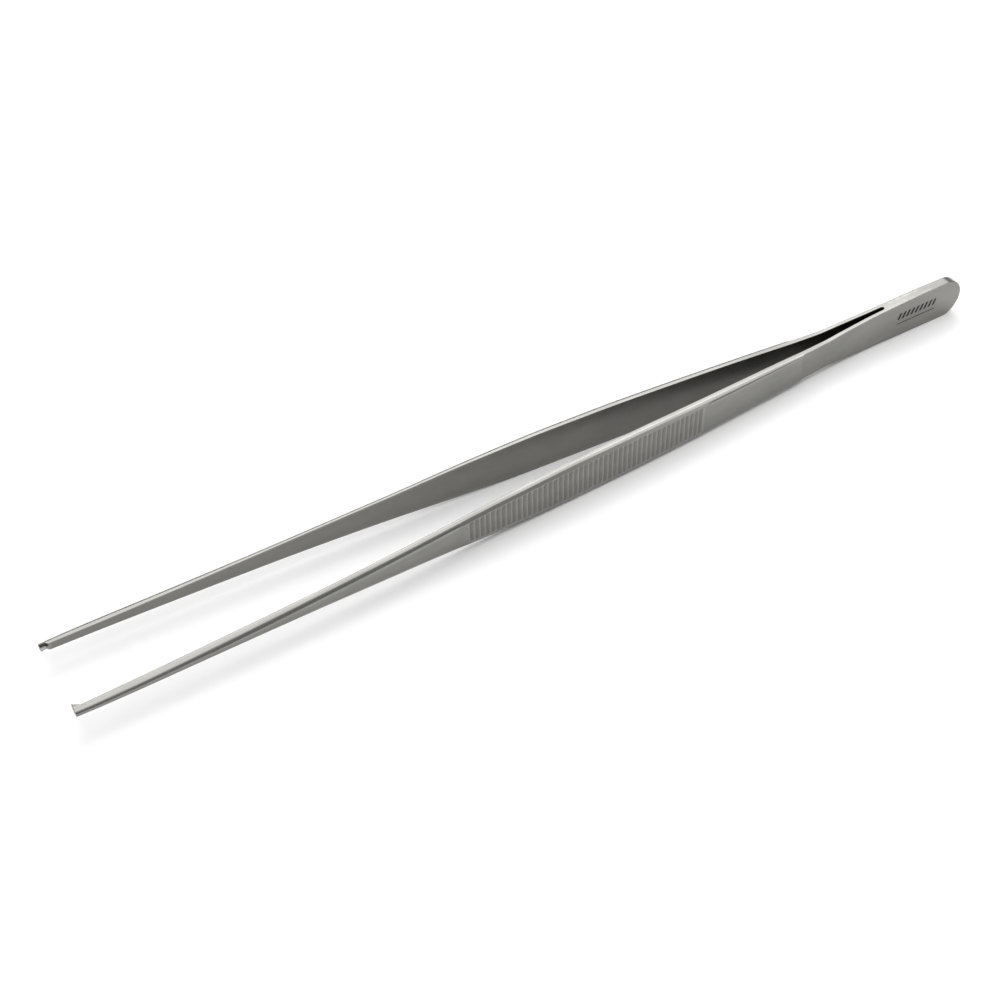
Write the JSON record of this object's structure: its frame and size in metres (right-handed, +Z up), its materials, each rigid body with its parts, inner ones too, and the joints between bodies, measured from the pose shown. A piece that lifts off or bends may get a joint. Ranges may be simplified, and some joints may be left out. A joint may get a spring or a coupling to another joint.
{
  "type": "toothed thumb forceps",
  "caption": "Long sprung steel forceps: flat arms with ridged grips and bevelled edges, slim shanks, toothed jaws, a welded round heel.",
  "frame": {"origin": "under the middle of the object, on the plane that its lower edges rest on", "axes": "+X from the jaws to the heel, +Y from the near arm to the far arm across the opening, +Z up along the width of the blades"},
  "size_m": [0.25, 0.0228, 0.0109],
  "materials": {
    "satin_steel": "satin",
    "fused_steel": "satin"
  },
  "bodies": {
    "heel": {"near_heel_half": "satin_steel", "far_heel_half": "satin_steel", "heel_weld": "fused_steel"},
    "near_arm": {"near_shank": "satin_steel", "near_grip": "satin_steel"},
    "far_arm": {"far_shank": "satin_steel", "far_grip": "satin_steel"}
  },
  "joints": [
    {"name": "near_arm_squeeze", "type": "hinge", "parent": "heel", "child": "near_arm", "pos_m": [0.082, -0.00176, 0.00545], "axis": [0, 0, -1], "range_deg": [0, 2.55], "stiffness_Nm_per_rad": 5},
    {"name": "far_arm_squeeze", "type": "hinge", "parent": "heel", "child": "far_arm", "pos_m": [0.082, 0.00176, 0.00545], "axis": [0, 0, 1], "range_deg": [0, 2.55], "stiffness_Nm_per_rad": 5}
  ]
}
